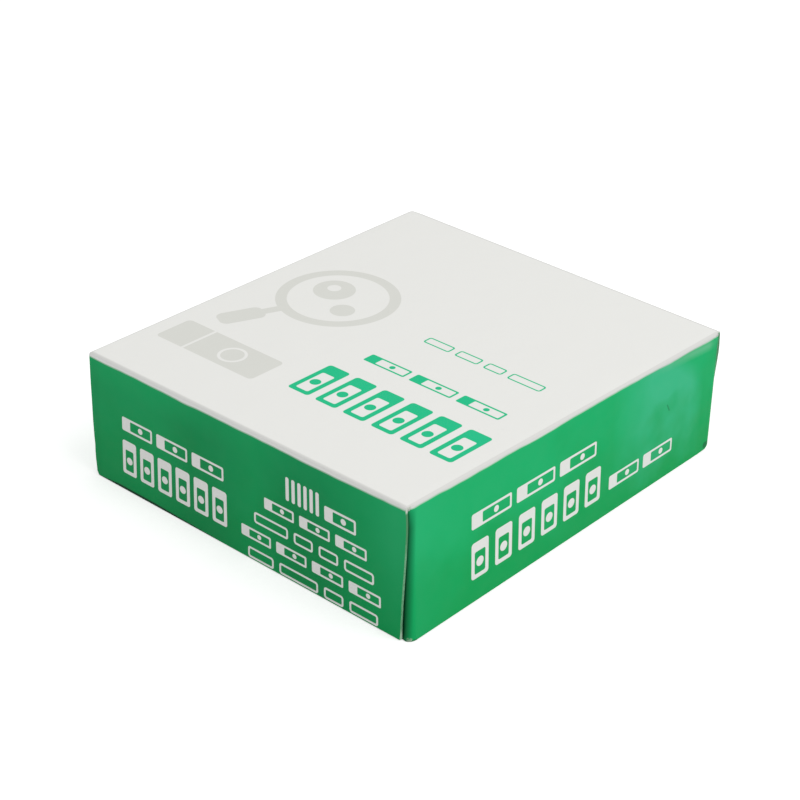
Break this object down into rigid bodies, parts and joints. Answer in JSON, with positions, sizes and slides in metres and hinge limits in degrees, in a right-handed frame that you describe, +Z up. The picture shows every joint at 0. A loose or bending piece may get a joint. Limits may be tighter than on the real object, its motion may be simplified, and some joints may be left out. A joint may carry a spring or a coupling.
{
  "type": "box of microscope slides",
  "caption": "Folded cardboard box, with a full-depth lift-off lid over a tray, that holds a row of glass microscope slides standing on edge.",
  "frame": {"origin": "centre of the box's footprint, on the surface it stands on", "axes": "+Z up; X along the front panel and along each slide; Y along the row of slides, from the front panel to the back"},
  "size_m": [0.0806, 0.0908, 0.0266],
  "materials": {
    "printed_board": "white-lined board printed green outside, softly glossy",
    "plain_board": "matt off-white folding board",
    "slide_glass": "clear polished glass with ground edges, frosted at one end"
  },
  "bodies": {
    "base": {"base_tray": "plain_board", "slides_01_02": "slide_glass", "slides_03_04": "slide_glass", "slides_05_06": "slide_glass", "slides_07_08": "slide_glass", "slides_09_10": "slide_glass", "slides_11_12": "slide_glass", "slides_13_14": "slide_glass", "slides_15_16": "slide_glass", "slides_17_18": "slide_glass", "slides_19_20": "slide_glass", "slides_21_22": "slide_glass", "slides_23_24": "slide_glass", "slides_25_26": "slide_glass", "slides_27_28": "slide_glass", "slides_29_30": "slide_glass", "slides_31_32": "slide_glass", "slides_33_34": "slide_glass", "slides_35_36": "slide_glass", "slides_37_38": "slide_glass", "slides_39_40": "slide_glass", "slides_41_42": "slide_glass", "slides_43_44": "slide_glass", "slides_45_46": "slide_glass", "slides_47_48": "slide_glass", "slides_49_50": "slide_glass", "slides_51_52": "slide_glass", "slides_53_54": "slide_glass", "slides_55_56": "slide_glass", "slides_57_58": "slide_glass", "slides_59_60": "slide_glass", "slides_61_62": "slide_glass", "slides_63_64": "slide_glass", "slides_65_66": "slide_glass", "slides_67_68": "slide_glass", "slides_69_70": "slide_glass", "slides_71_72": "slide_glass"},
    "lid": {"lid": "printed_board"}
  },
  "joints": [
    {"name": "lid_lift", "type": "slide", "parent": "base", "child": "lid", "axis": [0, 0, 1], "range_m": [0, 0.035]}
  ]
}
